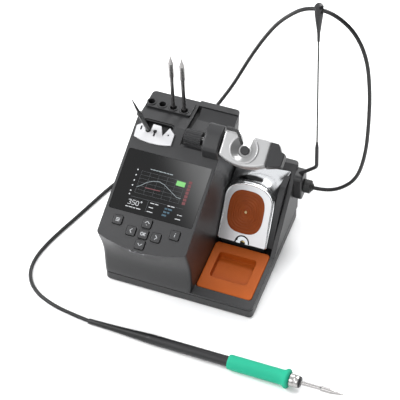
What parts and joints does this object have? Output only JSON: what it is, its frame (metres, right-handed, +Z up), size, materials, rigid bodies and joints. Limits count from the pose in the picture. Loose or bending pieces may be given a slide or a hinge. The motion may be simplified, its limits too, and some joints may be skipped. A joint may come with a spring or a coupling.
{
  "type": "soldering iron station",
  "caption": "Bench soldering station with sloping screen and keys, tip cleaner well, tilting tool holder, cable collector mast and a green-gripped handpiece on its cable.",
  "frame": {"origin": "on the table, under the middle of the casing, at the middle rubber foot", "axes": "+X to the right, +Y to the back, +Z up"},
  "size_m": [0.3467, 0.2508, 0.3089],
  "materials": {
    "casing": "fine texture, satin",
    "feet": "matt",
    "screw_steel": "zinc plated",
    "screen": "glossy black",
    "electronics": "plain",
    "board": "solder mask",
    "spacer": "nickelled",
    "key_plastic": "satin",
    "winding": "taped winding",
    "rear_plate": "powder coat",
    "inlet_plastic": "moulded",
    "rocker_plastic": "moulded",
    "pin_brass": "plated",
    "port_metal": "plated",
    "cartridge_steel": "polished",
    "dark_cartridge": "heat darkened",
    "extractor_steel": "satin",
    "dark_plastic": "satin",
    "shaft_steel": "turned",
    "cast_head": "satin cast and plated",
    "lead_rubber": "matt",
    "mirror_chrome": "mirror",
    "membrane_rubber": "ribbed silicone",
    "wiper_metal": "polished",
    "container_plastic": "plain",
    "wool_brass": "curled turnings",
    "tray_silicone": "matt silicone",
    "plug_plastic": "satin",
    "cable_jacket": "satin",
    "handle_plastic": "satin",
    "grip_foam": "soft foam rubber",
    "ferrule_metal": "turned"
  },
  "bodies": {
    "root": {"base_tray": "casing", "housing": "casing", "top_cover": "casing", "cartridge_holder": "casing", "holder_arm": "casing", "collector_bracket": "casing", "rubber_feet": "feet", "base_screws": "screw_steel", "rear_screws": "screw_steel", "transformer_bolt": "screw_steel", "screen_glass": "screen", "display_module": "electronics", "tact_switches": "electronics", "keypad_board": "board", "main_board": "board", "board_spacers": "spacer", "transformer": "winding", "rear_panel": "rear_plate", "mains_inlet": "inlet_plastic", "switch_bezel": "inlet_plastic", "inlet_pins": "pin_brass", "earth_socket": "pin_brass", "data_port": "port_metal", "extractor_plate": "extractor_steel", "extractor_block": "dark_plastic", "collector_arm": "dark_plastic", "collector_rod": "dark_plastic", "collector_clip": "dark_plastic", "collector_cap": "dark_plastic", "cleaner_container": "container_plastic", "brass_wool": "wool_brass", "tool_plug": "plug_plastic", "tool_cable": "cable_jacket", "strain_relief": "cable_jacket", "handle_body": "handle_plastic", "handle_grip": "grip_foam", "handle_ferrule": "ferrule_metal"},
    "cover": {"cleaner_cover": "mirror_chrome", "tip_wiper": "wiper_metal"},
    "membrane": {"cleaner_membrane": "membrane_rubber"},
    "tray": {"sponge_tray": "tray_silicone"},
    "head": {"holder_head": "cast_head", "head_end_cap": "dark_plastic", "pivot_shaft": "shaft_steel", "sensor_lead": "lead_rubber"},
    "knob": {"adjust_knob": "dark_plastic"},
    "rocker": {"power_rocker": "rocker_plastic"},
    "fuse": {"fuse_drawer": "inlet_plastic"},
    "spare_a": {"spare_cartridge_a": "cartridge_steel"},
    "spare_b": {"spare_cartridge_b": "cartridge_steel"},
    "extracted": {"extractor_cartridge": "dark_cartridge"},
    "ring": {"plug_ring": "plug_plastic"},
    "tip": {"tip_cartridge": "cartridge_steel"},
    "key_menu": {"key_menu": "key_plastic"},
    "key_up": {"key_up": "key_plastic"},
    "key_left": {"key_left": "key_plastic"},
    "key_ok": {"key_ok": "key_plastic"},
    "key_right": {"key_right": "key_plastic"},
    "key_down": {"key_down": "key_plastic"},
    "key_info": {"key_info": "key_plastic"}
  },
  "joints": [
    {"name": "key_menu_press", "type": "slide", "parent": "root", "child": "key_menu", "axis": [0, 0.3778, -0.9259], "range_m": [0, 0.0008], "stiffness_N_per_m": 350, "springref_m": -0.0003},
    {"name": "key_up_press", "type": "slide", "parent": "root", "child": "key_up", "axis": [0, 0.3778, -0.9259], "range_m": [0, 0.0008], "stiffness_N_per_m": 350, "springref_m": -0.0003},
    {"name": "key_left_press", "type": "slide", "parent": "root", "child": "key_left", "axis": [0, 0.3778, -0.9259], "range_m": [0, 0.0008], "stiffness_N_per_m": 350, "springref_m": -0.0003},
    {"name": "key_ok_press", "type": "slide", "parent": "root", "child": "key_ok", "axis": [0, 0.3778, -0.9259], "range_m": [0, 0.0008], "stiffness_N_per_m": 350, "springref_m": -0.0003},
    {"name": "key_right_press", "type": "slide", "parent": "root", "child": "key_right", "axis": [0, 0.3778, -0.9259], "range_m": [0, 0.0008], "stiffness_N_per_m": 350, "springref_m": -0.0003},
    {"name": "key_down_press", "type": "slide", "parent": "root", "child": "key_down", "axis": [0, 0.3778, -0.9259], "range_m": [0, 0.0008], "stiffness_N_per_m": 350, "springref_m": -0.0003},
    {"name": "key_info_press", "type": "slide", "parent": "root", "child": "key_info", "axis": [0, 0.3778, -0.9259], "range_m": [0, 0.0008], "stiffness_N_per_m": 350, "springref_m": -0.0003},
    {"name": "power_rock", "type": "hinge", "parent": "root", "child": "rocker", "pos_m": [-0.0405, 0.07097, 0.03615], "axis": [-1, 0, 0], "range_deg": [0, 16]},
    {"name": "fuse_pull", "type": "slide", "parent": "root", "child": "fuse", "axis": [0, 0.995, -0.1001], "range_m": [0, 0.012]},
    {"name": "knob_turn", "type": "hinge", "parent": "root", "child": "knob", "pos_m": [-0.015, 0.028, 0.131], "axis": [1, 0, 0], "continuous": true},
    {"name": "head_tilt", "type": "hinge", "parent": "root", "child": "head", "pos_m": [0.02, 0.028, 0.131], "axis": [1, 0, 0], "range_deg": [-12, 12]},
    {"name": "spare_a_pull", "type": "slide", "parent": "root", "child": "spare_a", "axis": [0, 0, 1], "range_m": [0, 0.1]},
    {"name": "spare_b_pull", "type": "slide", "parent": "root", "child": "spare_b", "axis": [0, 0, 1], "range_m": [0, 0.1]},
    {"name": "extracted_pull", "type": "slide", "parent": "root", "child": "extracted", "axis": [0, -0.3778, 0.9259], "range_m": [0, 0.09]},
    {"name": "cover_lift", "type": "slide", "parent": "root", "child": "cover", "axis": [0, 0, 1], "range_m": [0, 0.04]},
    {"name": "membrane_pull", "type": "slide", "parent": "cover", "child": "membrane", "axis": [0, -0.829, 0.5592], "range_m": [0, 0.015]},
    {"name": "tray_lift", "type": "slide", "parent": "root", "child": "tray", "axis": [0, 0, 1], "range_m": [0, 0.04]},
    {"name": "ring_turn", "type": "hinge", "parent": "root", "child": "ring", "pos_m": [0.09, 0.064, 0.057], "axis": [1, 0, 0], "range_deg": [0, 30]},
    {"name": "tip_pull", "type": "slide", "parent": "root", "child": "tip", "axis": [0.9993, -0.0205, 0.0323], "range_m": [0, 0.08]}
  ]
}
